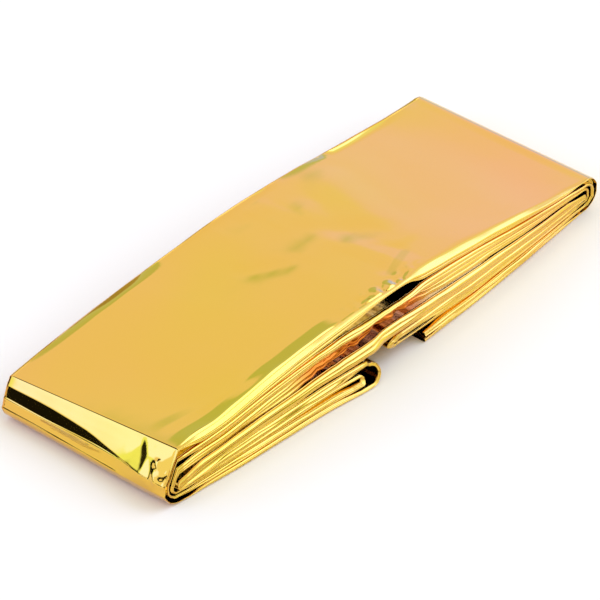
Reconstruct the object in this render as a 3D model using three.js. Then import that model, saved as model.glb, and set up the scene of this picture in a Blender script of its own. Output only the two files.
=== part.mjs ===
// Emergency foil blanket, packed flat. One sheet of metallised film, 1400 x 2100 mm, is halved
// four times across its width into a strip, and the strip is run back and forth four times.
// Both ends of that bundle are then turned under until they nearly meet.
// Millimetres, +Z up, X along the strip, the long side of folds facing -Y.
// The solid is the strip as one serpentine sheet, each run a little apart from the next.

import * as THREE from 'three';

const STRIP_WIDTH = 87.5;
const RUNS = 4;
const SOLID_SHARE = 0.7;
const SHEET_MOST = 3.0;
const NEST_RADIUS = 0.65;
const ROW_STEP = 12;
const END_STEPS = 13;
const LOOP_STEPS = 7;

// The two ends the bundle turns round: the middle of each turn and the table columns it uses.
const LEFT_END = { x: -120.4, z: 6.9, side: -1, front: 'leftFront', back: 'leftBack' };
const RIGHT_END = { x: 126, z: 7.4, side: 1, front: 'rightFront', back: 'rightBack' };

// Where the turned-under flaps stop, and how far a loop there as deep as the bundle would reach.
const LEFT_FLAP_STOP = -14.4;
const LEFT_LOOP_REACH = 6.5;
const RIGHT_FLAP_STOP = 21.5;
const RIGHT_LOOP_STOP = 6.5;
const RIGHT_LOOP_REACH = 12.8;

// Plan skew of the two ends about the line y = SKEW_LINE, full at SKEW_FULL from the middle.
const LEFT_SKEW = 0.016;
const RIGHT_SKEW = 0.05;
const SKEW_START = 10;
const SKEW_FULL = 120;
const SKEW_LINE = 5;

// Heights of the two stacks and the stand-out of their front edges, a row per section.
// top: upper face of the bundle. gap: its underside. flap: upper face of the flaps.
// topOut, flapOut: distance of the front edge from the middle line, at the top and the floor.
const SECTIONS = [
  { x: -120.4, topFront: 24.6, topBack: 18.3, gap: 7.6, flap: 6.2, topOut: 43.7, flapOut: 45.2 },
  { x: -95, topFront: 24.5, topBack: 22.2, gap: 10.0, flap: 8.2, topOut: 43.8, flapOut: 47.4 },
  { x: -68, topFront: 28.3, topBack: 25.3, gap: 11.2, flap: 9.2, topOut: 43.9, flapOut: 48.8 },
  { x: -38, topFront: 31.4, topBack: 27.6, gap: 12.0, flap: 9.9, topOut: 44.0, flapOut: 50.0 },
  { x: -10, topFront: 33.0, topBack: 29.6, gap: 12.2, flap: 10.1, topOut: 44.0, flapOut: 51.9 },
  { x: 0, topFront: 33.1, topBack: 29.8, gap: 12.0, flap: 10.2, topOut: 44.0, flapOut: 48.0 },
  { x: 20, topFront: 32.4, topBack: 29.5, gap: 11.6, flap: 10.2, topOut: 43.8, flapOut: 47.4 },
  { x: 50, topFront: 29.2, topBack: 26.9, gap: 10.8, flap: 9.4, topOut: 43.0, flapOut: 45.5 },
  { x: 82, topFront: 23.8, topBack: 22.6, gap: 9.8, flap: 8.3, topOut: 41.4, flapOut: 42.4 },
  { x: 105, topFront: 19.2, topBack: 18.9, gap: 8.8, flap: 7.3, topOut: 39.8, flapOut: 39.6 },
  { x: 126, topFront: 16.0, topBack: 16.5, gap: 8.1, flap: 6.7, topOut: 38.2, flapOut: 36.8 },
];

// Radius of the outermost turn at each end, from the top (0 degrees) round to the floor (180).
const END_PROFILE = [
  { angle: 0, leftFront: 17.7, leftBack: 11.4, rightFront: 8.6, rightBack: 9.1 },
  { angle: 16, leftFront: 12.6, leftBack: 9.9, rightFront: 8.8, rightBack: 9.3 },
  { angle: 32, leftFront: 10.4, leftBack: 9.0, rightFront: 8.9, rightBack: 9.3 },
  { angle: 52, leftFront: 9.3, leftBack: 8.4, rightFront: 8.6, rightBack: 8.9 },
  { angle: 80, leftFront: 9.1, leftBack: 8.3, rightFront: 8.1, rightBack: 8.3 },
  { angle: 104, leftFront: 9.0, leftBack: 8.0, rightFront: 7.8, rightBack: 7.9 },
  { angle: 130, leftFront: 8.3, leftBack: 7.3, rightFront: 7.6, rightBack: 7.6 },
  { angle: 156, leftFront: 7.1, leftBack: 6.8, rightFront: 7.4, rightBack: 7.4 },
  { angle: 180, leftFront: 6.9, leftBack: 6.9, rightFront: 7.4, rightBack: 7.4 },
];

// How far each run's front edge stands out from the side of the bundle, outermost run first.
const RUN_EDGES = [
  { left: 0.0, middle: 0.3, right: 0.2 },
  { left: 0.7, middle: 1.4, right: 0.9 },
  { left: -0.5, middle: -1.2, right: -0.3 },
  { left: 0.5, middle: 0.9, right: 0.6 },
];

function blend(share, from, to) {
  return from + (to - from) * share;
}

// Smooth curve through one column of a table, its rows placed by the key column.
function curve(rows, key, column, at) {
  const last = rows.length - 1;
  const clamped = Math.min(Math.max(at, rows[0][key]), rows[last][key]);
  let i = 0;
  while (i < last - 1 && clamped > rows[i + 1][key]) i += 1;
  const slope = (j) => {
    const a = rows[Math.max(j - 1, 0)];
    const b = rows[Math.min(j + 1, last)];
    return (b[column] - a[column]) / (b[key] - a[key]);
  };
  const span = rows[i + 1][key] - rows[i][key];
  const t = (clamped - rows[i][key]) / span;
  const bend = t * (1 - t);
  const ease = t * t * (3 - 2 * t);
  return blend(ease, rows[i][column], rows[i + 1][column])
    + span * bend * ((1 - t) * slope(i) - t * slope(i + 1));
}

// Places in the bundle, before the sheet is given its width. depth: 0 outermost, 1 innermost.
// across: 0 at the front edge, 1 at the back. turn: 0 at the top, 1 at the floor.
function topPlace(x, depth, across) {
  const outer = blend(across, curve(SECTIONS, 'x', 'topFront', x), curve(SECTIONS, 'x', 'topBack', x));
  return { x, z: blend(depth, outer, curve(SECTIONS, 'x', 'gap', x)), turn: depth / 2 };
}

function flapPlace(x, depth) {
  return { x, z: depth * curve(SECTIONS, 'x', 'flap', x), turn: 1 - depth / 2 };
}

function endPlace(end, degrees, depth, across) {
  const front = curve(END_PROFILE, 'angle', end.front, degrees);
  const back = curve(END_PROFILE, 'angle', end.back, degrees);
  const radius = blend(depth, blend(across, front, back), NEST_RADIUS);
  const angle = THREE.MathUtils.degToRad(degrees);
  return {
    x: end.x + end.side * radius * Math.sin(angle),
    z: end.z + radius * Math.cos(angle),
    turn: blend(degrees / 180, depth / 2, 1 - depth / 2),
  };
}

// The loop at a flap's stop that joins two runs, about the depth midway between them.
function loopPlace(stop, reach, degrees, from, to) {
  const angle = THREE.MathUtils.degToRad(degrees);
  const middle = (from + to) / 2;
  const half = (to - from) / 2;
  const place = flapPlace(stop, middle - half * Math.cos(angle));
  return { ...place, x: stop + 2 * reach * Math.abs(half) * Math.sin(angle) };
}

function inclusive(from, to, count) {
  return Array.from({ length: count }, (_, i) => blend(i / (count - 1), from, to));
}

function inset(from, to, count) {
  return Array.from({ length: count }, (_, i) => blend((i + 0.5) / count, from, to));
}

// The space beside each run is on its inner side, so the outermost run lies on the floor.
function depthOf(run) {
  return (run + SOLID_SHARE / 2) / RUNS;
}

// Stations along the strip. place(across, shift) is a point of the sheet's middle surface, or
// of the surface beside it when shift moves it to another depth.
function straight(place, from, to, run) {
  const count = Math.round(Math.abs(to - from) / ROW_STEP) + 1;
  return inclusive(from, to, count).map((x) => ({
    run,
    next: run,
    share: 0,
    place: (across, shift) => place(x, depthOf(run) + shift, across),
  }));
}

function turned(end, from, to, run) {
  return inset(from, to, END_STEPS).map((degrees) => ({
    run,
    next: run,
    share: 0,
    place: (across, shift) => endPlace(end, degrees, depthOf(run) + shift, across),
  }));
}

function looped(stop, reach, run, next) {
  const wider = Math.sign(next - run);
  return inset(0, 180, LOOP_STEPS).map((degrees) => ({
    run,
    next,
    share: degrees / 180,
    place: (across, shift) => (
      loopPlace(stop, reach, degrees, depthOf(run) - wider * shift, depthOf(next) + wider * shift)
    ),
  }));
}

// One run, from its stop under the right side, over the top, to its stop under the left side.
function runOf(run, rightStop) {
  return [
    ...straight(flapPlace, rightStop, RIGHT_END.x, run),
    ...turned(RIGHT_END, 180, 0, run),
    ...straight(topPlace, RIGHT_END.x, LEFT_END.x, run),
    ...turned(LEFT_END, 0, 180, run),
    ...straight(flapPlace, LEFT_END.x, LEFT_FLAP_STOP, run),
  ];
}

function serpentine() {
  return [
    ...runOf(0, RIGHT_FLAP_STOP),
    ...looped(LEFT_FLAP_STOP, LEFT_LOOP_REACH, 0, 3),
    ...runOf(3, RIGHT_LOOP_STOP).reverse(),
    ...looped(RIGHT_LOOP_STOP, -RIGHT_LOOP_REACH, 3, 2),
    ...runOf(2, RIGHT_LOOP_STOP),
    ...looped(LEFT_FLAP_STOP, LEFT_LOOP_REACH, 2, 1),
    ...runOf(1, RIGHT_FLAP_STOP).reverse(),
  ];
}

// Distance of a station's front edge from the middle line.
function edgeOut(station, x, turn) {
  const side = blend(turn, curve(SECTIONS, 'x', 'topOut', x), curve(SECTIONS, 'x', 'flapOut', x));
  const share = (x - LEFT_END.x) / (RIGHT_END.x - LEFT_END.x);
  const extra = (run) => {
    const { left, middle, right } = RUN_EDGES[run];
    return share < 0.5 ? blend(2 * share, left, middle) : blend(2 * share - 1, middle, right);
  };
  return side + blend(station.share, extra(station.run), extra(station.next));
}

// The sheet at one station and one share across: middle point, unit normal, half thickness.
function sheetAt(stations, i, across) {
  const here = stations[i].place(across, 0);
  const before = stations[Math.max(i - 1, 0)].place(across, 0);
  const after = stations[Math.min(i + 1, stations.length - 1)].place(across, 0);
  const normal = new THREE.Vector2(before.z - after.z, after.x - before.x).normalize();
  const outward = stations[i].place(across, 0.01);
  const inward = stations[i].place(across, -0.01);
  const perDepth = new THREE.Vector2(outward.x - inward.x, outward.z - inward.z).divideScalar(0.02);
  const spacing = Math.abs(perDepth.dot(normal)) / RUNS;
  return { ...here, normal, half: Math.min(SHEET_MOST, SOLID_SHARE * spacing) / 2 };
}

function skewed(x, y, z) {
  const ramp = THREE.MathUtils.smoothstep(Math.abs(x), SKEW_START, SKEW_FULL);
  return [x - ramp * (x < 0 ? LEFT_SKEW : RIGHT_SKEW) * (y - SKEW_LINE), y, z];
}

// Closed outline of the strip at one station: a rounded front edge, one face, the rounded back
// edge, the other face.
function outline(stations, i) {
  const front = sheetAt(stations, i, 0);
  const centre = sheetAt(stations, i, 0.5);
  const back = sheetAt(stations, i, 1);
  const frontY = -edgeOut(stations[i], front.x, front.turn);
  const backY = frontY + STRIP_WIDTH;
  const point = (sheet, y, rise) => {
    const lift = rise * sheet.half;
    return skewed(sheet.x + lift * sheet.normal.x, y, sheet.z + lift * sheet.normal.y);
  };
  const face = (side) => [
    point(front, frontY + front.half, side),
    point(centre, (frontY + backY) / 2, side),
    point(back, backY - back.half, side),
  ];
  const edge = (sheet, y, inwards) => [-1, 0, 1].map((step) => {
    const angle = (step * Math.PI) / 4;
    return point(sheet, y + inwards * sheet.half * (1 - Math.cos(angle)), Math.sin(angle));
  });
  return [
    ...edge(front, frontY, 1),
    ...face(1),
    ...edge(back, backY, -1).reverse(),
    ...face(-1).reverse(),
  ];
}

function stripGeometry() {
  const stations = serpentine();
  const outlines = stations.map((_, i) => outline(stations, i));
  const sides = outlines[0].length;
  const index = [];
  for (let row = 0; row < outlines.length - 1; row += 1) {
    for (let side = 0; side < sides; side += 1) {
      const a = row * sides + side;
      const b = row * sides + ((side + 1) % sides);
      index.push(a, b + sides, b, a, a + sides, b + sides);
    }
  }
  const lastRow = (outlines.length - 1) * sides;
  for (let side = 1; side < sides - 1; side += 1) {
    index.push(0, side, side + 1);
    index.push(lastRow, lastRow + side + 1, lastRow + side);
  }
  const geometry = new THREE.BufferGeometry();
  geometry.setAttribute('position', new THREE.Float32BufferAttribute(outlines.flat(2), 3));
  geometry.setIndex(index);
  geometry.computeVertexNormals();
  return geometry;
}

// Moves the origin to the middle of the underside.
function centred(geometry) {
  geometry.computeBoundingBox();
  const { min, max } = geometry.boundingBox;
  return geometry.translate(-(min.x + max.x) / 2, -(min.y + max.y) / 2, -min.z);
}

const goldFilm = new THREE.MeshStandardMaterial({ color: 0xecc05a, metalness: 1, roughness: 0.2 });

const blanket = new THREE.Mesh(centred(stripGeometry()), goldFilm);
blanket.name = 'foil_blanket';

const part = new THREE.Group();
part.name = 'emergency_foil_blanket';
part.add(blanket);

export default part;
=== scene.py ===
import math

import bmesh
import bpy
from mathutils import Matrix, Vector, noise


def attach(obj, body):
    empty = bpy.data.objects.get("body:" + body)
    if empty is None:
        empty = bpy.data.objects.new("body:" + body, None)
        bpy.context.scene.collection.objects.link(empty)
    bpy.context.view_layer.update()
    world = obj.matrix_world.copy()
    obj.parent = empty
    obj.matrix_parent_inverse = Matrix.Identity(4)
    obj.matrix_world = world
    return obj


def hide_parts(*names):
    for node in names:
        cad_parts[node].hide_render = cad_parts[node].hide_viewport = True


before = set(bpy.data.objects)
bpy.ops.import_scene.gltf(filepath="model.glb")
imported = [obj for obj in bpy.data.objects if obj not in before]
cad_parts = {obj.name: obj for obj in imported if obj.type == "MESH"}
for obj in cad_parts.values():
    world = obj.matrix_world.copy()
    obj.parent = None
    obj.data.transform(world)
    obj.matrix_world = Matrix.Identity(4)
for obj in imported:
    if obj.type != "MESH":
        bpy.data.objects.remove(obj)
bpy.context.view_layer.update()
print("frame loaded")


def blend(share, start, end):
    return start + (end - start) * share


def ramp(value, low, high):
    share = min(1.0, max(0.0, (value - low) / (high - low)))
    return share * share * (3 - 2 * share)


# smooth line through one column of a table whose rows are placed by the key column
def curve(rows, key, column, at):
    last = len(rows) - 1
    at = min(max(at, rows[0][key]), rows[last][key])
    i = 0
    while i < last - 1 and at > rows[i + 1][key]:
        i += 1

    def slope(j):
        a, b = rows[max(j - 1, 0)], rows[min(j + 1, last)]
        return (b[column] - a[column]) / (b[key] - a[key])

    span = rows[i + 1][key] - rows[i][key]
    t = (at - rows[i][key]) / span
    ease = t * t * (3 - 2 * t)
    bend = t * (1 - t) * ((1 - t) * slope(i) - t * slope(i + 1))
    return blend(ease, rows[i][column], rows[i + 1][column]) + span * bend


def wander(x, y, size, seed):
    return noise.noise(Vector((x / size, y / size, seed)))


# the sheet and how it is packed, in millimetres; places are the solid's, before it is centred
film = {
    "flat": (1400, 2100),
    "plies": 16,
    "runs": 4,
    "stripWidth": 87.5,
    "fill": 0.92,  # share of a run's room that its plies take
    "endFill": 0.56,  # the same at the two ends and the flaps' tips, where the runs spread
    "topRoom": 0.24,  # share of the outermost run's room kept free under its outermost ply
    "nestRadius": 0.65,
    "leftEnd": {"x": -120.4, "z": 6.9, "side": -1},
    "rightEnd": {"x": 126.0, "z": 7.4, "side": 1},
    "leftStop": -14.4,  # where the left flap's outer loop turns
    "leftInner": -19.5,  # where the inner of the two loops at the left flap's end turns
    "leftReach": 6.5,  # how far past its stop a loop the whole flap high would reach
    "rightStop": 21.5,  # where the right flap's free edges end
    "rightLoopStop": 6.5,
    "rightReach": 12.8,
    "leftSkew": 0.016,
    "rightSkew": 0.05,
    "skewRange": (10, 120),  # how far from the middle the ends' skew starts, and is full
    "skewLine": 5,
    "centre": (-3.426, 0.669),  # what puts the pack's outline in the middle of the frame
    "outerPly": 1,
    "underPly": 14,  # lies close under the outermost ply, so it bends with it
}

# the level that each ply takes in a run after four halvings of the width, lowest 0
levels = [0, 15, 8, 7, 4, 11, 12, 3, 2, 13, 10, 5, 6, 9, 14, 1]
topLevel = film["plies"] - 1

# stations along the pack: heights of the outer face at the front and at the back, of the gap over
# the flaps and of the flaps, and how far out the long folds of the top and of the flaps lie; they
# follow measured points that a script turned into mm, moved to these stations by hand
sections = [
    dict(x=-120.4, topFront=24.6, topBack=18.3, gap=7.6, flap=6.2, topOut=43.7, flapOut=45.2),
    dict(x=-95, topFront=24.5, topBack=22.2, gap=10.0, flap=8.2, topOut=43.8, flapOut=47.4),
    dict(x=-68, topFront=28.3, topBack=25.3, gap=11.2, flap=9.2, topOut=43.9, flapOut=48.8),
    dict(x=-38, topFront=31.4, topBack=27.6, gap=12.0, flap=9.9, topOut=44.0, flapOut=50.0),
    dict(x=-10, topFront=33.0, topBack=29.6, gap=12.2, flap=10.1, topOut=44.0, flapOut=51.9),
    dict(x=0, topFront=33.1, topBack=29.8, gap=12.0, flap=10.2, topOut=44.0, flapOut=48.0),
    dict(x=20, topFront=32.4, topBack=29.5, gap=11.6, flap=10.2, topOut=43.8, flapOut=47.4),
    dict(x=50, topFront=29.2, topBack=26.9, gap=10.8, flap=9.4, topOut=43.0, flapOut=45.5),
    dict(x=82, topFront=23.8, topBack=22.6, gap=9.8, flap=8.3, topOut=41.4, flapOut=42.4),
    dict(x=105, topFront=19.2, topBack=18.9, gap=8.8, flap=7.3, topOut=39.8, flapOut=39.6),
    dict(x=126, topFront=16.0, topBack=16.5, gap=8.1, flap=6.7, topOut=38.2, flapOut=36.8),
]

# where the plies start to squeeze, and where they are squeezed in full
squeeze = {
    "leftEnd": (-107, -120),
    "rightEnd": (114, 126),
    "leftTip": (-34, -17),
    "rightTip": (36, 22),
    "leftFold": (-104, -120),  # the same for the outermost run's long fold
    "rightFold": (112, 126),
}

# corners down the left end panel, out from the end's line and up from the floor, front to back;
# a conversion script gave the first two and last two of each row but the fourth one, and some of
# those were then moved by hand
leftPanel = [
    dict(across=0.0, at=[(8.60, 11.28), (8.75, 10.89), (8.76, 10.87), (8.77, 10.85),
                         (9.00, 7.60), (9.07, 6.11), (5.65, 1.81)]),
    dict(across=0.12, at=[(7.96, 11.59), (8.09, 11.29), (8.10, 11.27), (8.12, 11.25),
                          (8.70, 7.50), (8.95, 5.96), (6.02, 1.48)]),
    dict(across=0.25, at=[(6.99, 12.26), (7.18, 11.84), (7.26, 11.75), (7.34, 11.57),
                          (8.45, 7.40), (8.70, 5.99), (5.95, 1.55)]),
    dict(across=0.31, at=[(6.38, 12.90), (6.76, 12.05), (6.88, 11.91), (7.03, 11.56),
                          (8.25, 7.30), (8.48, 5.97), (5.92, 1.65)]),
    dict(across=0.4, at=[(5.33, 13.87), (6.11, 12.16), (6.30, 11.93), (6.50, 11.47),
                         (7.80, 7.20), (8.04, 5.91), (5.81, 1.85)]),
    dict(across=0.5, at=[(4.22, 15.01), (5.66, 11.92), (5.83, 11.65), (6.10, 11.01),
                         (7.27, 7.20), (7.53, 5.84), (5.67, 2.14)]),
    dict(across=0.75, at=[(2.86, 15.49), (5.02, 10.84), (5.22, 10.60), (5.42, 9.93),
                          (6.41, 6.90), (6.72, 5.84), (5.21, 2.53)]),
    dict(across=1.0, at=[(2.26, 14.89), (4.26, 10.65), (4.46, 10.42), (4.73, 9.74),
                         (5.71, 6.90), (6.01, 5.84), (4.83, 2.85)]),
]
for row in leftPanel:
    for k, (out, up) in enumerate(row["at"], 1):
        row[f"out{k}"], row[f"up{k}"] = out, up
flatCorners = 5  # the panel is straight between its first corners, and round below them

# radius round the right end by angle from the top
rightRound = [
    dict(angle=0, front=8.6, back=9.1),
    dict(angle=16, front=8.8, back=9.3),
    dict(angle=32, front=8.9, back=9.3),
    dict(angle=52, front=8.6, back=8.9),
    dict(angle=80, front=8.1, back=8.3),
    dict(angle=104, front=7.8, back=7.9),
    dict(angle=130, front=7.6, back=7.6),
    dict(angle=180, front=7.4, back=7.4),
]

# how far each run's long fold stands out from the side, outermost run first
standOut = [
    dict(left=0.0, middle=0.3, right=0.2),
    dict(left=-0.5, middle=1.2, right=0.5),
    dict(left=-0.4, middle=-0.5, right=-0.1),
    dict(left=0.5, middle=0.9, right=0.6),
]

# the slack opening over the flaps' meeting: run 0 lifts off run 1, run 2 draws back
slackFront = [
    dict(x=-56, lift=0.0, draw=0.0, crumple=0.0),
    dict(x=-40, lift=0.04, draw=1.2, crumple=0.5),
    dict(x=-22, lift=0.2, draw=2.0, crumple=1.0),
    dict(x=-6, lift=0.5, draw=2.3, crumple=1.25),
    dict(x=6, lift=0.7, draw=2.3, crumple=1.2),
    dict(x=16, lift=0.6, draw=1.8, crumple=0.8),
    dict(x=24, lift=0.12, draw=0.8, crumple=0.3),
    dict(x=36, lift=0.0, draw=0.0, crumple=0.0),
]

# creases in the top: from, to, half width and rise of each soft tent, in centred coordinates
topCreases = [
    dict(x1=45, y1=28, x2=34, y2=-13, wide=13, rise=0.75),
    dict(x1=34, y1=-13, x2=14, y2=7, wide=9, rise=-0.55),
    dict(x1=14, y1=7, x2=23, y2=20, wide=8, rise=0.5),
    dict(x1=-8, y1=36, x2=3, y2=35, wide=4, rise=-0.35),
    dict(x1=3, y1=37, x2=14, y2=34, wide=5, rise=0.3),
    dict(x1=15, y1=24, x2=8, y2=23, wide=4, rise=0.26),
    dict(x1=-25, y1=9, x2=-7, y2=-3, wide=6, rise=-0.42),
    dict(x1=-7, y1=-3, x2=10, y2=0, wide=9, rise=0.42),
    dict(x1=16, y1=-11, x2=20, y2=-34, wide=8, rise=0.5),
    dict(x1=26, y1=-26, x2=11, y2=-32, wide=5, rise=-0.3),
    dict(x1=-116, y1=-28, x2=-67, y2=-37, wide=5, rise=0.16),
    dict(x1=-60, y1=40, x2=-45, y2=-8, wide=22, rise=0.4),
    dict(x1=80, y1=38, x2=60, y2=-12, wide=24, rise=-0.45),
]

# folded dents in the left end panel near the long side: across and down from the crease in mm,
# and how far the film stands out there; a script turned the measured places a to i into mm, and
# some were then moved by hand
dentPoints = {
    "a": (23.0, 0.2, 0.0), "b": (22.9, 12.2, 0.3), "c": (17.0, 3.8, 0.0), "d": (12.7, 15.2, 1.9),
    "e": (11.6, 8.1, 1.6), "f": (5.4, 18.4, 0.9), "g": (5.6, 8.9, 2.2), "h": (3.6, 11.8, 1.5),
    "i": (0.0, 11.3, 0.0), "j": (17.0, 0.0, 0.0), "k": (11.0, 0.0, 0.0), "l": (5.0, 0.0, 0.0),
    "m": (0.0, 0.0, 0.0), "n": (24.5, 20.0, 0.0), "o": (13.0, 21.0, 0.0), "p": (4.4, 22.5, 0.0),
    "q": (0.0, 20.0, 0.0), "r": (28.0, 12.8, 0.0),
}
dentFaces = "abc bdc cde jce jek keg kgl lgm mgi ghi edf egf ghf hfi bnd dno dof fop fpq fqi arb rnb"

slackRun = 2  # the run that draws back and crumples


def sectionAt(x):
    return {c: curve(sections, "x", c, x) for c in sections[0] if c != "x"}


# share of a run's room that its plies take at a row
def fillOf(row):
    x = row["x"]
    spread = 1.0
    if row["kind"] not in ("left", "right"):
        spread = ramp(x, *squeeze["leftEnd"]) + ramp(x, *squeeze["rightEnd"])
    if row["kind"] in ("flap", "loop"):
        spread += ramp(x, *squeeze["leftTip" if x < 0 else "rightTip"])
    return blend(min(1.0, spread), film["fill"], film["endFill"])


# depth 0 is the outside of the bundle and 1 its inside; run by run, ply by ply
def plyDepth(row, run, level):
    fill = row["fill"]
    share = level / topLevel
    if run == 0:
        room = 0 if level == topLevel else film["topRoom"]
        return blend(level / (topLevel - 1) if level < topLevel else 1, fill, room) / film["runs"]
    spare = (1 - fill) * run / (film["runs"] - 1)
    return (run + spare + fill * (share if run % 2 else 1 - share)) / film["runs"]


# straight between the upper corners of the left panel, then round to the floor
def leftRadius(step, across, section):
    top = blend(across, section["topFront"], section["topBack"])
    corners = [dict(key=0, out=0.0, up=top)]
    count = len(leftPanel[0]["at"])
    for k in range(1, count + 1):
        out, up = (curve(leftPanel, "across", f"{c}{k}", across) for c in ("out", "up"))
        corners.append(dict(key=k, out=out, up=up))
    if step < flatCorners:
        start, end = corners[int(step)], corners[int(step) + 1]
        out, up = (blend(step - int(step), start[c], end[c]) for c in ("out", "up"))
    else:
        corners = corners[flatCorners - 1 :] + [dict(key=count + 1, out=0.0, up=0.0)]
        out, up = (curve(corners, "key", c, step) for c in ("out", "up"))
    up -= film["leftEnd"]["z"]
    return math.degrees(math.atan2(out, up)), math.hypot(out, up)


# a point of the bundle at one station: x, z, turn from top 0 to floor 1, and the outward way
def placed(row, depth, across):
    section, kind = row["section"], row["kind"]
    if kind == "top":
        outer = blend(across, section["topFront"], section["topBack"])
        return row["x"], blend(depth, outer, section["gap"]), depth / 2, 0, 1
    if kind == "flap":
        return row["x"], depth * section["flap"], 1 - depth / 2, 0, -1
    if kind == "left":
        end = film["leftEnd"]
        angle, radius = leftRadius(row["step"], across, section)
    else:
        end, angle = film["rightEnd"], row["step"]
        radius = blend(
            across,
            curve(rightRound, "angle", "front", angle),
            curve(rightRound, "angle", "back", angle),
        )
    radius = blend(depth, radius, film["nestRadius"])
    turn = blend(angle / 180, depth / 2, 1 - depth / 2)
    way = math.radians(angle)
    outX, outZ = end["side"] * math.sin(way), math.cos(way)
    return end["x"] + radius * outX, end["z"] + radius * outZ, turn, outX, outZ


# the same for a loop, where two plies' depths are joined round a flap's stop
def looped(row, depth, nextDepth):
    half = (nextDepth - depth) / 2
    way = math.radians(row["step"])
    middle = (depth + nextDepth) / 2 - half * math.cos(way)
    x = row["x"] + 2 * row["reach"] * abs(half) * math.sin(way)
    return x, middle * row["section"]["flap"], 1 - middle / 2, 0, -1


def spaced(start, end, step):
    count = max(1, round(abs(end - start) / step))
    return [blend(i / count, start, end) for i in range(count + 1)]


def inset(count, whole):
    return [whole * (i + 0.5) / count for i in range(count)]


def station(kind, run, x, step, **more):
    row = dict(kind=kind, run=run, next=run, share=0, x=x, step=step, section=sectionAt(x))
    row.update(more)
    row["fill"] = fillOf(row)
    return row


def rowsOf(kind, run, stops):
    ends = {"left": film["leftEnd"]["x"], "right": film["rightEnd"]["x"]}
    return [station(kind, run, ends.get(kind, s), s) for s in stops]


def loopRows(run, following, stop, reach, count):
    return [
        station("loop", run, stop, s, next=following, share=s / 180, reach=reach)
        for s in inset(count, 180)
    ]


# spacing in mm of the sheet's rows along the top, from right to left, in three stretches, how
# many rows go round the right end, and where they lie down the left panel, in its corners
rowPlan = {
    "outer": dict(
        right=2.8, rightTo=38, middleFrom=37, middle=1.2, middleTo=-37, leftFrom=-39, left=2.3,
        round=18, down=[0.02, 0.05] + spaced(0.1, 0.97, 0.065) + [1.03, 1.2, 1.5, 1.8, 1.97]
        + [2.2, 2.8, 3.2, 3.8, 4.06, 4.25, 4.5, 4.75, 5.0, 5.3, 5.7, 6.1, 6.5, 6.9, 7.3, 7.7],
    ),
    "slack": dict(
        right=5, rightTo=40, middleFrom=37, middle=1.6, middleTo=-39, leftFrom=-43, left=4.6,
        round=11, down=[0.06, 0.3, 0.65, 1.0, 1.5, 2.0, 4.0, 4.6, 5.2, 5.9, 6.6, 7.3],
    ),
    "nearCrease": [4, 2.6, 1.6, 0.9, 0.3],  # mm from the left crease, on the outermost run
    "flap": 5,
}
rowPlan["inner"] = dict(rowPlan["slack"], middle=2.3)


# one run of the bundle: from the right flap round the right end, over the top, round the left end
def runRows(run, rightStop):
    left, right = film["leftEnd"]["x"], film["rightEnd"]["x"]
    plan = rowPlan["outer" if run == 0 else "slack" if run == slackRun else "inner"]
    nearCrease = rowPlan["nearCrease"] if run == 0 else [0]
    top = spaced(right, plan["rightTo"], plan["right"])
    top += spaced(plan["middleFrom"], plan["middleTo"], plan["middle"])
    top += spaced(plan["leftFrom"], left + nearCrease[0], plan["left"])
    top += [left + near for near in nearCrease[1:]]
    return (
        rowsOf("flap", run, spaced(rightStop, right, rowPlan["flap"])[:-1])
        + rowsOf("right", run, inset(plan["round"], 180)[::-1])
        + rowsOf("top", run, top)
        + rowsOf("left", run, plan["down"])
        + rowsOf("flap", run, spaced(left, film["leftStop"], rowPlan["flap"])[1:])
    )


# whether a row of the two middle runs comes before their loop in the left flap
def beforeLoop(row):
    return row["kind"] != "flap" or row["x"] < film["leftInner"] or row["x"] > 0


# the whole strip, free edge to free edge: runs 0, 3, 2 and 1, with a loop between each two
def filmRows():
    rows = runRows(0, film["rightStop"])
    rows += loopRows(0, 3, film["leftStop"], film["leftReach"], 9)
    rows += runRows(3, film["rightLoopStop"])[::-1]
    rows += loopRows(3, 2, film["rightLoopStop"], -film["rightReach"], 9)
    rows += [r for r in runRows(2, film["rightLoopStop"]) if beforeLoop(r)]
    rows += loopRows(2, 1, film["leftInner"], film["leftReach"], 7)
    return rows + [r for r in runRows(1, film["rightStop"])[::-1] if beforeLoop(r)]


# where the outermost ply's columns lie, in mm from the long fold's plies
outerColumns = [0.0, 0.5, 1.0, 1.6, 2.3] + spaced(3.1, 16.7, 0.8)
outerColumns += [17.9, 19.4, 21.3, 23.6, 26.4] + spaced(30.0, 84, 4.15)
underColumns = [0.0, 0.25, 0.5, 0.75, 1.0]  # shares of the ply under it
foldColumns = {1: 7, 3: 5, 7: 5}  # how many columns go round the folds at the back that show


# columns of the sheet, free edge to free edge: on a ply by its share, or round a fold
def filmColumns():
    columns = []
    for ply in range(film["plies"]):
        shares = [0.0, 1.0]
        if ply == film["outerPly"]:
            shares = [mm / outerColumns[-1] for mm in outerColumns]
        if ply == film["underPly"]:
            shares = underColumns
        columns += [dict(ply=ply, share=s) for s in shares]
        if ply == 0:
            columns += [dict(ply=0, lobe=j, part=i) for j in (0, 1) for i in range(len(lobeParts))]
            columns += [dict(ply=0, lobe=2, part=i) for i in range(len(topBand))]
        elif ply < topLevel:
            columns += [dict(ply=ply, fold=f - 1) for f in inset(foldColumns.get(ply, 2), 2)]
    return columns


def thickness(row, across):
    if row["kind"] == "loop":
        return row["fill"] * row["section"]["flap"] / film["runs"]
    a = placed(row, plyDepth(row, row["run"], topLevel), across)
    b = placed(row, plyDepth(row, row["run"], 0), across)
    return math.hypot(a[0] - b[0], a[1] - b[1])


def standsOut(row, run):
    share = (row["x"] - film["leftEnd"]["x"]) / (film["rightEnd"]["x"] - film["leftEnd"]["x"])
    side = standOut[run]
    if share < 0.5:
        return blend(2 * share, side["left"], side["middle"])
    return blend(2 * share - 1, side["middle"], side["right"])


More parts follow.
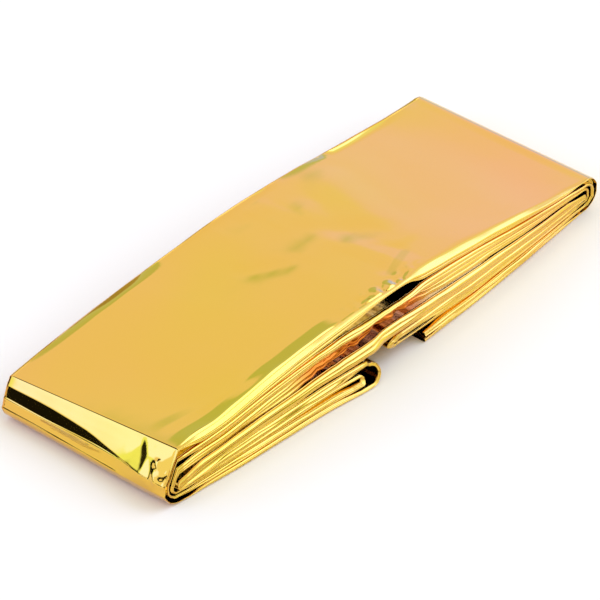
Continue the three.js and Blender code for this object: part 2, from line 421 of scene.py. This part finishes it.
# how the runs' long folds wander in and out along the side, in mm
sideDrift = {"long": 0.45, "longSize": 34, "short": 0.2, "shortSize": 9, "outermost": 0.5}


# distance of a row's long side of folds from the middle line
def sideOut(row, x, turn):
    section = row["section"] if row["kind"] in ("top", "flap", "loop") else sectionAt(x)
    side = blend(turn, section["topOut"], section["flapOut"])
    extra = blend(row["share"], standsOut(row, row["run"]), standsOut(row, row["next"]))
    place = 7 * row["run"] + 20 * turn
    drift = sideDrift["long"] * wander(row["x"], 0, sideDrift["longSize"], 3.1 + place)
    drift += sideDrift["short"] * wander(row["x"], 0, sideDrift["shortSize"], 5.3 + place)
    return side + extra + drift * (1 if row["run"] else sideDrift["outermost"])


def skewed(x, y):
    near = ramp(abs(x), *film["skewRange"])
    return x - near * film["leftSkew" if x < 0 else "rightSkew"] * (y - film["skewLine"])


def tent(x, y, crease):
    dx, dy = crease["x2"] - crease["x1"], crease["y2"] - crease["y1"]
    long = math.hypot(dx, dy)
    along = ((x - crease["x1"]) * dx + (y - crease["y1"]) * dy) / long
    off = abs((x - crease["x1"]) * dy - (y - crease["y1"]) * dx) / long
    past = max(0, -along, along - long)
    return crease["rise"] * max(0, 1 - math.hypot(off, past) / crease["wide"])


# the outermost ply's relief: rises and sizes in mm, and where along the pack each part fades
relief = {
    "broad": 0.3,
    "broadSize": 46,
    "fine": 0.05,
    "fineSize": 15,
    "lip": 0.8,  # along the long fold on the left
    "lipWidth": 6.2,
    "bead": 0.26,  # on the very edge of the lip
    "beadWidth": 1.2,
    "lipDrift": 0.5,
    "lipDriftSize": 12,
    "lipFade": (-24, -40),
    "crumple": 2.6,  # at the edge over the slack
    "crumpleSize": 5.8,
    "crumpleSpread": 0.8,  # below 1, the crumples are longer from front to back
    "crumpleSink": 0.5,
    "crumpleLeft": (-24, -12),
    "crumpleRight": (28, 18),
    "crumpleDepth": (8.5, 3.0),  # in from the front
    "startFade": 10,  # from the left crease, along the top
    "panelSoft": 0.05,
    "panelSoftSize": 14,
    "panelCrumple": 1.1,  # beside the dents
    "panelCrumpleSize": 3.6,
    "panelAcross": (9, 6),
    "panelTop": (7, 9),
    "panelLow": (18, 15),
    "panelStart": (0, 0.1),  # in corners down the panel, as the next
    "panelEnd": (6.5, 5.0),
}


# rise of the outermost ply over its flat face, in mm
def topRelief(x, y, fromFront, fromFold):
    rise = sum(tent(x, y, c) for c in topCreases)
    rise += relief["broad"] * wander(x, y, relief["broadSize"], 1.7)
    rise += relief["fine"] * wander(x, y, relief["fineSize"], 4.4)
    lip = ramp(x, *relief["lipFade"])
    lip *= 1 + relief["lipDrift"] * wander(x, 0, relief["lipDriftSize"], 3.9)
    rise += relief["lip"] * lip * max(0, 1 - fromFold / relief["lipWidth"])
    rise += relief["bead"] * lip * max(0, 1 - fromFold / relief["beadWidth"])
    middle = ramp(x, *relief["crumpleLeft"]) * ramp(x, *relief["crumpleRight"])
    middle *= ramp(fromFront, *relief["crumpleDepth"])
    crumple = abs(wander(x, y * relief["crumpleSpread"], relief["crumpleSize"], 8.2))
    return rise + middle * (relief["crumple"] * crumple - relief["crumpleSink"])


def dentRise(across, down):
    for face in dentFaces.split():
        (ax, ay, ah), (bx, by, bh), (cx, cy, ch) = (dentPoints[name] for name in face)
        area = (bx - ax) * (cy - ay) - (cx - ax) * (by - ay)
        u = ((bx - across) * (cy - down) - (cx - across) * (by - down)) / area
        v = ((cx - across) * (ay - down) - (ax - across) * (cy - down)) / area
        if u >= 0 and v >= 0 and u + v <= 1:
            return u * ah + v * bh + (1 - u - v) * ch
    return 0.0


def panelRelief(across, down):
    rise = relief["panelSoft"] * wander(across, down, relief["panelSoftSize"], 6.6)
    rough = ramp(across, *relief["panelAcross"]) * ramp(down, *relief["panelTop"])
    rough *= ramp(down, *relief["panelLow"])
    crumple = abs(wander(across, down, relief["panelCrumpleSize"], 1.6))
    rise += relief["panelCrumple"] * rough * crumple
    return rise + dentRise(across, down)


# the long fold's top band on the outermost run, from its groove to the edge, as a crisp crease
# and as a soft round: height share, distance in from the side as a share of the thickness, and
# how much fine line it shows
topBand = [
    dict(crispUp=0.0, crispIn=0.34, softUp=0.0, softIn=0.3, line=1.0),
    dict(crispUp=0.05, crispIn=0.08, softUp=0.05, softIn=0.12, line=1.0),
    dict(crispUp=0.14, crispIn=0.0, softUp=0.12, softIn=0.03, line=1.0),
    dict(crispUp=0.32, crispIn=0.07, softUp=0.22, softIn=0.04, line=1.0),
    dict(crispUp=0.52, crispIn=0.18, softUp=0.4, softIn=0.17, line=1.0),
    dict(crispUp=0.72, crispIn=0.29, softUp=0.6, softIn=0.33, line=0.7),
    dict(crispUp=0.9, crispIn=0.39, softUp=0.79, softIn=0.49, line=0.4),
    dict(crispUp=0.975, crispIn=0.43, softUp=0.92, softIn=0.62, line=0.1),
    dict(crispUp=1.0, crispIn=0.46, softUp=0.98, softIn=0.76, line=0.0),
    dict(crispUp=1.0, crispIn=0.5, softUp=1.0, softIn=0.95, line=0.0),
]
lobeParts = [0.0, 0.06, 0.18, 0.36, 0.6, 0.82, 0.94]
bandParts = [0.0, 0.05, 0.14, 0.27, 0.43, 0.6, 0.75, 0.87, 0.95, 0.985]

# where the grooves lie between the bands of each run's long fold, as shares of half its height
grooves = [
    dict(low=-0.5, high=0.12),
    dict(low=-0.3, high=0.36),
    dict(low=-0.42, high=0.3),
    dict(low=-0.36, high=0.28),
]

# the shape of the long folds and of the folds behind them, in run thicknesses unless in mm
foldShape = {
    "crispFade": (-24, 26),  # where along the top the outermost crease goes from crisp to soft
    "softDrop": 0.3,  # how much lower the soft crease's band starts
    "bulge": 0.26,
    "grooveDepth": 0.3,
    "swell": 0.35,  # height share where a run stands out most, and how far that drifts
    "swellDrift": 0.5,
    "swellSize": 38,  # mm, as the other sizes
    "grooveDrift": 0.3,
    "lowSize": 62,
    "highSize": 55,
    "shortDrift": 0.16,
    "shortSize": 12,
    "flapShift": 60,  # so that flap and top drift differently
    "crispReach": 0.56,  # how far behind the side the outermost run's plies start
    "softReach": 1.15,
    "plainReach": 0.42,
    "nest": 0.6,  # mm, how far the inner folds lie behind the long fold
    "nestMore": 0.3,
    "nestRound": 0.8,
    "backInset": 1.4,  # mm, in from the strip's back edge
    "hiddenInset": 1.5,
    "hiddenRound": 0.4,  # how round the hidden folds at the back are, next to those that show
    "backDrift": 0.4,
    "backSize": 25,
}
seenFolds = {1: 1.0, 3: 0.55, 7: 0.3}  # how far out the folds at the back stand that show


# the long fold of one run: distance in from the side and height share of one of its columns;
# each run is one rounded band with two faint grooves, and the outermost has a crease band on top
def longFold(row, column, thick, crisp):
    run, lobe, part = row["run"], column["lobe"], column["part"]
    shape = foldShape
    x = row["x"] + (shape["flapShift"] if row["kind"] == "flap" else 0)
    low, high = grooves[run]["low"], grooves[run]["high"]
    low += shape["grooveDrift"] * wander(x, run * 9, shape["lowSize"], 2.2)
    high += shape["grooveDrift"] * wander(x, run * 9, shape["highSize"], 8.2)
    high += shape["shortDrift"] * wander(x, run, shape["shortSize"], 2.8)
    creased = run == 0 and row["kind"] != "flap"
    high -= shape["softDrop"] * (1 - crisp) if creased else 0
    edges = [-1.0, low, high, 1.0]
    if lobe == 2 and creased:
        band = topBand[part]
        up = blend(crisp, band["softUp"], band["crispUp"])
        return thick * blend(crisp, band["softIn"], band["crispIn"]), blend(up, high, 1.0)
    part = bandParts[part] if lobe == 2 else lobeParts[part]
    up = blend(part, edges[lobe], edges[lobe + 1])
    roof = high if creased else 1.0
    drift = shape["swellDrift"] * wander(x, run * 5, shape["swellSize"], 4.6)
    swell = blend(shape["swell"] + drift, -1.0, roof)
    off = (up - swell) / (roof - swell if up > swell else swell + 1)
    inward = shape["bulge"] * (roof + 1) * (1 - max(0.0, 1 - off * off) ** 0.5)
    groove = 0.5 * (edges[lobe + 1] - edges[lobe]) * (1 - 4 * part * (1 - part))
    return thick * (inward + shape["grooveDepth"] * groove * (1 - off * off)), up


# the same for the fold between two plies behind the long fold, or at the back
def plyFold(row, column, reach, wide):
    ply, shape = column["ply"], foldShape
    half = abs(levels[ply + 1] - levels[ply]) / topLevel
    angle = column["fold"] * math.pi / 2
    up, inward = math.sin(angle), 1 - math.cos(angle)
    if ply % 2 == 0:
        return reach + shape["nest"] + inward * shape["nestRound"] * half, up
    seen = seenFolds.get(ply, 0)
    fromFront = wide - (0 if seen else shape["hiddenInset"]) - (1 - seen) * shape["nest"]
    fromFront -= inward * shape["backInset"] * (seen or shape["hiddenRound"])
    drift = wander(row["x"], ply * 5, shape["backSize"], 7.7 + row["run"])
    fromFront -= shape["backDrift"] * (0.5 + drift)
    return fromFront, up


# distance in from the front of a column on a ply
def onPly(column, reach, wide):
    ply, shape = column["ply"], foldShape
    share = column["share"] if ply % 2 else 1 - column["share"]  # even plies run back to front
    half, nest = topLevel / 2, 0
    if ply > film["outerPly"]:
        nest = shape["nest"] + shape["nestMore"] * (half - abs(levels[ply] - half)) / half
    return blend(share, reach + nest, wide - shape["backInset"] - nest)


# how the runs ease near the front: how much, and the power by which that fades to the back
easing = {
    "liftPower": 4,
    "outerFold": (0.6, 8),
    "next": (0.16, 4),  # the run under the outermost one rises with it
    "nextDrawn": (0.035, 6),
    "inner": (0.1, 10),  # the innermost run's folds swell into the gap
    "innerDrawn": 0.6,  # how much less they do so at the slack
}


# depth of a point after its run has eased
def easedDepth(row, slack, depth, nearFront):
    run, inRuns = row["run"], depth * film["runs"]
    drawn = min(1.0, slack["draw"])
    if run == 0:
        loose = 1.0
        if row["kind"] in ("top", "flap", "loop"):
            loose = ramp(row["x"], *squeeze["leftFold"]) + ramp(row["x"], *squeeze["rightFold"])
        amount, power = easing["outerFold"]
        lifted = 1 - slack["lift"] * nearFront ** easing["liftPower"]
        return depth * (lifted * (1 - amount * loose * nearFront ** power))
    if run == 1:
        amount, power = easing["next"]
        depth += amount * slack["lift"] * (2 - inRuns) * nearFront ** power
        inRuns = depth * film["runs"]
        amount, power = easing["nextDrawn"]
        return depth - amount * drawn * (inRuns - 1) * nearFront ** power
    if run == 3 and row["kind"] != "loop":
        amount, power = easing["inner"]
        loose = 1 - easing["innerDrawn"] * drawn
        return depth + amount * loose * nearFront ** power * (inRuns - 3)
    return depth


# how far the slack run draws back, and how the runs beside it crumple, in mm
slackCrumple = {
    "depth": 0.2,  # share of the strip's width, from the front
    "other": 0.12,
    "inward": 2.4,
    "inwardSize": 4.6,
    "up": 0.9,
    "upSize": 5.0,
    "spread": 1.3,  # above 1, the crumples are flatter than they are long
}


def crumpled(row, slack, x, y, z, across):
    run, shape = row["run"], slackCrumple
    if run == slackRun:
        y += slack["draw"] * (1 - across) ** 3
    if slack["crumple"] and run and across < shape["depth"]:
        fade = slack["crumple"] * (1 - across / shape["depth"])
        fade *= 1.0 if run == slackRun else shape["other"]
        y += fade * shape["inward"] * wander(x, z * shape["spread"], shape["inwardSize"], 3.3 + run)
        z += fade * shape["up"] * wander(x, z * shape["spread"], shape["upSize"], 13.3 + run)
    return y, z


def foldedPoint(row, column, wide, thick):
    ply, run, kind = column["ply"], row["run"], row["kind"]
    slack = {c: 0.0 for c in ("lift", "draw", "crumple")}
    if kind == "top":
        slack = {c: curve(slackFront, "x", c, row["x"]) for c in slack}
    crisp = 1 - ramp(row["x"], *foldShape["crispFade"]) if kind == "top" else float(row["x"] < 0)
    reach = foldShape["plainReach"]
    if run == 0:
        thick *= 1 - slack["lift"]
        if kind != "flap":
            reach = blend(crisp, foldShape["softReach"], foldShape["crispReach"])
    reach *= thick
    if "share" in column:
        fromFront = onPly(column, reach, wide)
        depth = plyDepth(row, run, levels[ply])
        following = plyDepth(row, row["next"], levels[ply])
    else:
        if "part" in column:
            fromFront, up = longFold(row, column, thick, crisp)
        else:
            fromFront, up = plyFold(row, column, reach, wide)
        pairs = [
            (plyDepth(row, r, levels[ply]), plyDepth(row, r, levels[ply + 1]))
            for r in (run, row["next"])
        ]
        depth, following = ((a + b) / 2 + (b - a) / 2 * up for a, b in pairs)
    across = min(1.0, max(0.0, fromFront / wide))
    depth = easedDepth(row, slack, depth, 1 - across)
    if kind == "loop":
        x, z, turn, outX, outZ = looped(row, depth, following)
    else:
        x, z, turn, outX, outZ = placed(row, depth, across)
    y = fromFront - sideOut(row, x, turn)
    y, z = crumpled(row, slack, x, y, z, across)
    x = skewed(x, y) + film["centre"][0]
    y += film["centre"][1]
    if run == 0 and ply == film["outerPly"] and "share" in column:
        if kind == "top":
            start = film["leftEnd"]["x"]
            hold = ramp(row["x"], start, start + relief["startFade"])
            z += topRelief(x, y, fromFront, fromFront - reach) * hold
        elif kind == "left":
            hold = ramp(row["step"], *relief["panelStart"]) * ramp(row["step"], *relief["panelEnd"])
            front = sections[0]
            crease = blend(across, front["topFront"], front["topBack"])
            down = math.hypot(x - skewed(row["x"], y) - film["centre"][0], crease - z)
            rise = panelRelief(across * wide, down) * hold
            x, z = x + rise * outX, z + rise * outZ
    return Vector((x, y, z)) * 0.001


# share of the way round the long fold at which a column lies
def roundShare(column):
    count = len(topBand) if column["lobe"] == 2 else len(lobeParts)
    return (column["lobe"] + column["part"] / count) / 3


# how far round its fold a column lies, in thicknesses, and how much fine line it shows
def foldLine(row, column):
    if "part" in column:
        plain = column["lobe"] < 2 or row["run"] or row["kind"] == "flap"
        return roundShare(column), 1.0 if plain else topBand[column["part"]]["line"]
    if "fold" in column:
        return column["ply"] + 0.5 * column["fold"], 1.0
    return float(column["ply"]), 0.0


# share of painted shade at a column, for the film's reflections of itself: 0 out in the open, 1
# where the film sees only itself
valleys = {
    "fromGroove": [0.85, 0.5, 0.15],  # in a groove, and one and two columns from it
    "least": 0.55,
    "drift": 0.9,
    "driftSize": 45,
    "plyFold": 0.5,
    "lowPanelReflection": 0.14,  # painted warmer reflection on the left panel's round, through the copper shade tint
    "lowFrom": 4,  # the corner that it starts at
    "slackLeft": (-66, -40),
    "slackRight": (34, 18),
}


def valleyShare(row, column):
    x, run, ply, kind = row["x"], row["run"], column["ply"], row["kind"]
    # painted shade on the faces that look into the slack opening
    slack = 0.0
    if kind == "top":
        slack = ramp(x, *valleys["slackLeft"]) * ramp(x, *valleys["slackRight"])
    if "part" not in column:
        facesSlack = run == slackRun or (run, ply) in ((3, 0), (1, film["outerPly"]))
        onPanel = run == 0 and ply == film["outerPly"] and kind == "left"
        return max(
            valleys["plyFold"] if "fold" in column else 0.0,
            slack if facesSlack else 0.0,
            valleys["lowPanelReflection"] if onPanel and row["step"] > valleys["lowFrom"] else 0.0,
        )
    part, lobe = column["part"], column["lobe"]
    toGroove = min(part, (len(topBand) - 1 if lobe == 2 else len(lobeParts)) - part)
    if run == 0 and lobe == 2:
        toGroove = 0 if part == 0 else len(topBand)
    shares = valleys["fromGroove"]
    share = shares[toGroove] if toGroove < len(shares) else 0.0
    wandering = wander(x, run * 11 + lobe * 5, valleys["driftSize"], 6.1)
    share *= valleys["least"] + valleys["drift"] * wandering
    if run == slackRun or (run == 3 and lobe == 0 and part == 0):
        share = max(share, slack)
    return min(1.0, max(0.0, share))


# how much of a ply's width its folds take on the flat sheet, and the least step between rows
flatPlan = {"round": 0.06, "fold": 0.03, "margin": 0.035, "leastStep": 0.4}


# where each column lies on the flat sheet, as a share of its width
def flatAcross(columns):
    shares = []
    for column in columns:
        if "part" in column:
            place = 1 + flatPlan["round"] * (roundShare(column) - 0.5)
        elif "fold" in column:
            place = column["ply"] + 1 + flatPlan["fold"] * column["fold"]
        else:
            margin = flatPlan["margin"]
            place = column["ply"] + blend(column["share"], margin, 1 - margin)
        shares.append(place / film["plies"])
    return shares


# where each row lies on it, as a share of its length
def flatAlong(rows):
    along = [0.0]
    for a, b in zip(rows, rows[1:]):
        here, there = (
            looped(r, 0.4, 0.6) if r["kind"] == "loop" else placed(r, 0.5, 0.5) for r in (a, b)
        )
        step = math.hypot(here[0] - there[0], here[1] - there[1])
        along.append(along[-1] + max(flatPlan["leastStep"], step))
    return [a / along[-1] for a in along]


def makeFilm():
    rows, columns = filmRows(), filmColumns()
    bm = bmesh.new()
    wide, long = (side * 0.001 for side in film["flat"])
    bmesh.ops.create_grid(bm, x_segments=len(columns) - 1, y_segments=len(rows) - 1, size=0.5)
    flat = bm.loops.layers.uv.new("flatSheet")
    lines = bm.verts.layers.float_vector.new("foldLines")
    valley = bm.verts.layers.float.new("valley")
    across, along = flatAcross(columns), flatAlong(rows)
    spots = {}
    for vert in bm.verts:
        spots[vert] = (
            round((vert.co.x + 0.5) * (len(columns) - 1)),
            round((vert.co.y + 0.5) * (len(rows) - 1)),
        )
    for face in bm.faces:
        face.smooth = True
        for loop in face.loops:
            c, r = spots[loop.vert]
            loop[flat].uv = (across[c] * wide, along[r] * long)
    gauges = [thickness(row, 0) for row in rows]
    for vert, (c, r) in spots.items():
        row, column = rows[r], columns[c]
        part, weight = foldLine(row, column)
        vert[lines] = (part * gauges[r] + 40 * row["run"], along[r] * film["flat"][1], weight)
        # painted shade share, which the material turns into copper in grooves and folds
        vert[valley] = valleyShare(row, column)
        vert.co = foldedPoint(row, column, film["stripWidth"], gauges[r])
    mesh = bpy.data.meshes.new("goldFilm")
    bm.to_mesh(mesh)
    bm.free()
    piece = bpy.data.objects.new("goldFilm", mesh)
    bpy.context.collection.objects.link(piece)
    print("film folded:", len(rows), "rows by", len(columns), "columns")
    return piece


def linear(hexColour):
    parts = [int(hexColour[i : i + 2], 16) / 255 for i in (0, 2, 4)]
    return [p / 12.92 if p <= 0.04045 else ((p + 0.055) / 1.055) ** 2.4 for p in parts] + [1.0]


# adds a node, sets its own settings and sockets by name, and links what is given as a socket
def addNode(tree, kind, settings=None, **sockets):
    node = tree.nodes.new(kind)
    for name, value in (settings or {}).items():
        setattr(node, name, value)
    for name, value in sockets.items():
        key = int(name[2:]) if name.startswith("in") and name[2:].isdigit() else name
        socket = node.inputs[key if isinstance(key, int) else key.replace("_", " ")]
        if isinstance(value, bpy.types.NodeSocket):
            tree.links.new(value, socket)
        else:
            socket.default_value = value
    return node


# Gold metallised polyester film: aluminium vacuum-deposited on 12 micron film, then gold lacquered.
# The metal gives the mirror, the lacquer a pale clear glint over it, and handling a fine crinkle.
filmLook = {
    "gold": "E4CA26",
    "warmGold": "F0B65C",
    "roughLow": 0.03,
    "roughHigh": 0.09,
    "crinkleSize": 9.0,  # mm between the fine crinkles of handling
    "crinkleRise": 0.035,  # mm
    "scuffSize": 30.0,  # mm between duller and brighter patches
    "driftSize": 75.0,  # mm, lacquer colour drift
    "lineSize": 2.8,  # mm between the fine lines along the folds
    "lineLength": 130.0,  # mm, how long a line runs
    "lineRise": 0.34,  # mm
    "valley": "C4560F",  # painted copper shade where the film sees only itself, for its reflections of itself
    "valleyShare": 0.85,
    "coat": 0.5,  # clear lacquer over the gold, faded out where the shade is painted
    "coatIor": 1.55,
    "coatRough": 0.04,
}


def metallisedFilm():
    look = filmLook
    material = bpy.data.materials.new("goldMetallisedPolyesterFilm")
    material.use_nodes = True
    tree = material.node_tree
    shader = tree.nodes["Principled BSDF"]
    where = addNode(tree, "ShaderNodeTexCoord")
    drift = addNode(
        tree, "ShaderNodeTexNoise", Vector=where.outputs["Object"],
        Scale=1000 / look["driftSize"], Detail=1.0,
    )
    mix = addNode(
        tree, "ShaderNodeMix", {"data_type": "RGBA"}, in0=drift.outputs["Fac"],
        in6=linear(look["gold"]), in7=linear(look["warmGold"]),
    )
    # painted shade: the gold turns copper where the mask says the film sees only itself
    valley = addNode(tree, "ShaderNodeAttribute", {"attribute_name": "valley"})
    paintedShadeMix = addNode(
        tree, "ShaderNodeMath", {"operation": "MULTIPLY"}, in0=valley.outputs["Fac"],
        in1=look["valleyShare"],
    )
    paintedShadeColour = addNode(
        tree, "ShaderNodeMix", {"data_type": "RGBA"}, in0=paintedShadeMix.outputs[0],
        in6=mix.outputs[2], in7=linear(look["valley"]),
    )
    tree.links.new(paintedShadeColour.outputs[2], shader.inputs["Base Color"])
    scuff = addNode(
        tree, "ShaderNodeTexNoise", Vector=where.outputs["UV"],
        Scale=1000 / look["scuffSize"], Detail=3.0,
    )
    rough = addNode(
        tree, "ShaderNodeMapRange", Value=scuff.outputs["Fac"], in1=0.3, in2=0.7,
        in3=look["roughLow"], in4=look["roughHigh"],
    )
    tree.links.new(rough.outputs[0], shader.inputs["Roughness"])
    crinkle = addNode(
        tree, "ShaderNodeTexVoronoi", {"feature": "SMOOTH_F1"}, Vector=where.outputs["UV"],
        Scale=1000 / look["crinkleSize"], Smoothness=0.6,
    )
    bump = addNode(
        tree, "ShaderNodeBump", Height=crinkle.outputs["Distance"], Strength=1.0,
        Distance=look["crinkleRise"] * 0.001,
    )
    folds = addNode(tree, "ShaderNodeAttribute", {"attribute_name": "foldLines"})
    spread = addNode(
        tree, "ShaderNodeVectorMath", {"operation": "MULTIPLY"}, in0=folds.outputs["Vector"],
        in1=(1 / look["lineSize"], 1 / look["lineLength"], 0),
    )
    lines = addNode(
        tree, "ShaderNodeTexNoise", Vector=spread.outputs[0], Scale=1.0, Detail=1.0,
    )
    weight = addNode(tree, "ShaderNodeSeparateXYZ", Vector=folds.outputs["Vector"])
    height = addNode(
        tree, "ShaderNodeMath", {"operation": "MULTIPLY"}, in0=lines.outputs["Fac"],
        in1=weight.outputs["Z"],
    )
    creased = addNode(
        tree, "ShaderNodeBump", Height=height.outputs[0], Normal=bump.outputs[0], Strength=1.0,
        Distance=look["lineRise"] * 0.001,
    )
    tree.links.new(creased.outputs[0], shader.inputs["Normal"])
    shader.inputs["Metallic"].default_value = 1.0
    # the lacquer's glint fades out under the painted shade
    coat = addNode(
        tree, "ShaderNodeMapRange", Value=valley.outputs["Fac"], in3=look["coat"], in4=0.0,
    )
    tree.links.new(coat.outputs[0], shader.inputs["Coat Weight"])
    shader.inputs["Coat IOR"].default_value = look["coatIor"]
    shader.inputs["Coat Roughness"].default_value = look["coatRough"]
    return material


goldFilm = makeFilm()
goldFilm.data.materials.append(metallisedFilm())
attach(goldFilm, "root")
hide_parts("foil_blanket")

# studio: pale floor and soft light all round, brightest high in front on the right and behind on
# the left, with dark panels behind and a darker horizon
studio = {
    "floorHex": "FCF0D3",
    "floorHalf": 1.6,  # m, as the next
    "floorDrop": 0.0003,
    "lens": 1200,
    "sensorWidth": 36,
    "azimuth": -48.4,
    "elevation": 36.5,
    "acrossAim": -2.29,  # mm, aim beside and above the part's origin in the picture plane
    "upAim": 6.31,
    "pictureWidth": 236.7,  # mm at the part
}


def makeFloor():
    bm = bmesh.new()
    bmesh.ops.create_grid(bm, x_segments=1, y_segments=1, size=studio["floorHalf"])
    bmesh.ops.translate(bm, verts=bm.verts, vec=(0, 0, -studio["floorDrop"]))
    mesh = bpy.data.meshes.new("paleFloor")
    bm.to_mesh(mesh)
    bm.free()
    floor = bpy.data.objects.new("paleFloor", mesh)
    bpy.context.collection.objects.link(floor)
    material = bpy.data.materials.new("mattePaperFloor")  # matte paper: even, no gloss
    material.use_nodes = True
    shader = material.node_tree.nodes["Principled BSDF"]
    shader.inputs["Base Color"].default_value = linear(studio["floorHex"])
    shader.inputs["Roughness"].default_value = 0.9
    shader.inputs["Specular IOR Level"].default_value = 0.1
    mesh.materials.append(material)


# the studio's light by direction: each zone's light, and the tests on x, y and z that fade it in,
# each later zone over those before it
lightZones = [
    dict(  # overhead
        light=(1.5, 1.5, 1.5),
        tests=[("z", 0.8, 0.88)],
    ),
    dict(  # low, behind on the right
        light=(1.03, 0.89, 1.3),
        tests=[("z", 0.5, 0.36), ("x", 0.2, 0.5), ("y", 0.1, 0.35)],
    ),
    dict(  # right
        light=(1.02, 1.2, 1.15),
        tests=[("y", 0.34, 0.05), ("x", 0.05, 0.35)],
    ),
    dict(  # high in front on the right
        light=(2.0, 2.35, 4.4),
        tests=[("y", 0.0, -0.2), ("x", 0.1, 0.4), ("z", 0.38, 0.5)],
    ),
    dict(  # front, from the left to the middle
        light=(1.05, 1.2, 1.2),
        tests=[("y", 0.3, -0.1), ("x", 0.35, 0.05)],
    ),
    dict(  # low in front on the right
        light=(1.15, 1.35, 0.8),
        tests=[("y", -0.1, -0.3), ("x", 0.4, 0.6), ("z", 0.42, 0.3)],
    ),
    dict(  # left
        light=(1.1, 1.15, 1.3),
        tests=[("x", -0.25, -0.4), ("z", 0.9, 0.75)],
    ),
    dict(  # behind on the left, at middle height
        light=(1.3, 1.65, 4.2),
        tests=[("x", -0.3, -0.5), ("z", 0.2, 0.3), ("z", 0.9, 0.75), ("y", 0.1, 0.25)],
    ),
    dict(  # low, far behind on the left
        light=(1.1, 1.45, 1.1),
        tests=[("x", -0.3, -0.5), ("y", 0.6, 0.66), ("z", 0.5, 0.4)],
    ),
    dict(  # dark panel high behind
        light=(0.02, 0.02, 0.015),
        tests=[("z", 0.7, 0.75), ("y", 0.3, 0.45), ("x", -0.55, -0.4), ("x", 0.3, 0.2)],
    ),
    dict(  # dark low behind, on the left
        light=(0.02, 0.02, 0.015),
        tests=[("z", 0.36, 0.26), ("y", 0.72, 0.8), ("x", 0.1, -0.1)],
    ),
    dict(  # dimmer behind on the right
        light=(0.64, 0.77, 0.45),
        tests=[("y", 0.59, 0.66), ("z", 0.62, 0.55), ("x", 0.3, 0.45)],
    ),
    dict(  # horizon on the right
        light=(0.62, 0.8, 1.7),
        tests=[("z", 0.24, 0.14), ("x", 0.6, 0.75), ("y", 0.15, 0.3)],
    ),
    dict(  # dim and warm, low in front
        light=(0.32, 0.26, 0.1),
        tests=[("z", 0.36, 0.24), ("y", -0.3, -0.5), ("x", -0.3, 0.0), ("x", 0.72, 0.6)],
    ),
    dict(  # dim and warm horizon
        light=(0.5, 0.4, 0.1),
        tests=[("z", 0.14, 0.08), ("x", 0.72, 0.6)],
    ),
    dict(  # dark horizon on the left
        light=(0.01, 0.01, 0.01),
        tests=[("z", 0.17, 0.11), ("x", 0.0, -0.3)],
    ),
]
studioBase = (1.02, 0.93, 1.05)


def makeWorld():
    world = bpy.data.worlds.new("studioLight")
    bpy.context.scene.world = world
    world.use_nodes = True
    tree = world.node_tree
    tree.nodes.clear()
    where = addNode(tree, "ShaderNodeTexCoord")
    axes = addNode(tree, "ShaderNodeSeparateXYZ", Vector=where.outputs["Generated"])
    light = (*studioBase, 1.0)
    for zone in lightZones:
        share = None
        for axis, low, high in zone["tests"]:
            test = addNode(
                tree, "ShaderNodeMapRange", {"interpolation_type": "SMOOTHSTEP"},
                Value=axes.outputs[axis.upper()], in1=low, in2=high,
            ).outputs[0]
            if share is None:
                share = test
            else:
                share = addNode(
                    tree, "ShaderNodeMath", {"operation": "MULTIPLY"}, in0=share, in1=test
                ).outputs[0]
        light = addNode(
            tree, "ShaderNodeMix", {"data_type": "RGBA"}, in0=share, in6=light,
            in7=(*zone["light"], 1.0),
        ).outputs[2]
    seen = addNode(tree, "ShaderNodeLightPath")
    shown = addNode(
        tree, "ShaderNodeMix", {"data_type": "RGBA"}, in0=seen.outputs["Is Camera Ray"],
        in6=light, in7=(1.0, 1.0, 1.0, 1.0),
    )
    back = addNode(tree, "ShaderNodeBackground", Color=shown.outputs[2], Strength=1.0)
    addNode(tree, "ShaderNodeOutputWorld", Surface=back.outputs[0])


def makeCamera():
    a, e = math.radians(studio["azimuth"]), math.radians(studio["elevation"])
    back = Vector((math.sin(a) * math.cos(e), -math.cos(a) * math.cos(e), math.sin(e)))
    right = Vector((math.cos(a), math.sin(a), 0))
    up = back.cross(right)
    target = (right * studio["acrossAim"] + up * studio["upAim"]) * 0.001
    camera = bpy.data.objects.new("camera", bpy.data.cameras.new("camera"))
    camera.data.lens = studio["lens"]
    camera.data.sensor_width = studio["sensorWidth"]
    away = studio["pictureWidth"] * 0.001 * studio["lens"] / studio["sensorWidth"]
    camera.location = target + back * away
    camera.rotation_mode = "QUATERNION"
    camera.rotation_quaternion = (-back).to_track_quat("-Z", "Y")
    camera.data.clip_start, camera.data.clip_end = 0.1, 30
    bpy.context.collection.objects.link(camera)
    bpy.context.scene.camera = camera


makeFloor()
makeWorld()
makeCamera()
bpy.context.scene.view_settings.view_transform = "Standard"
print("studio set")
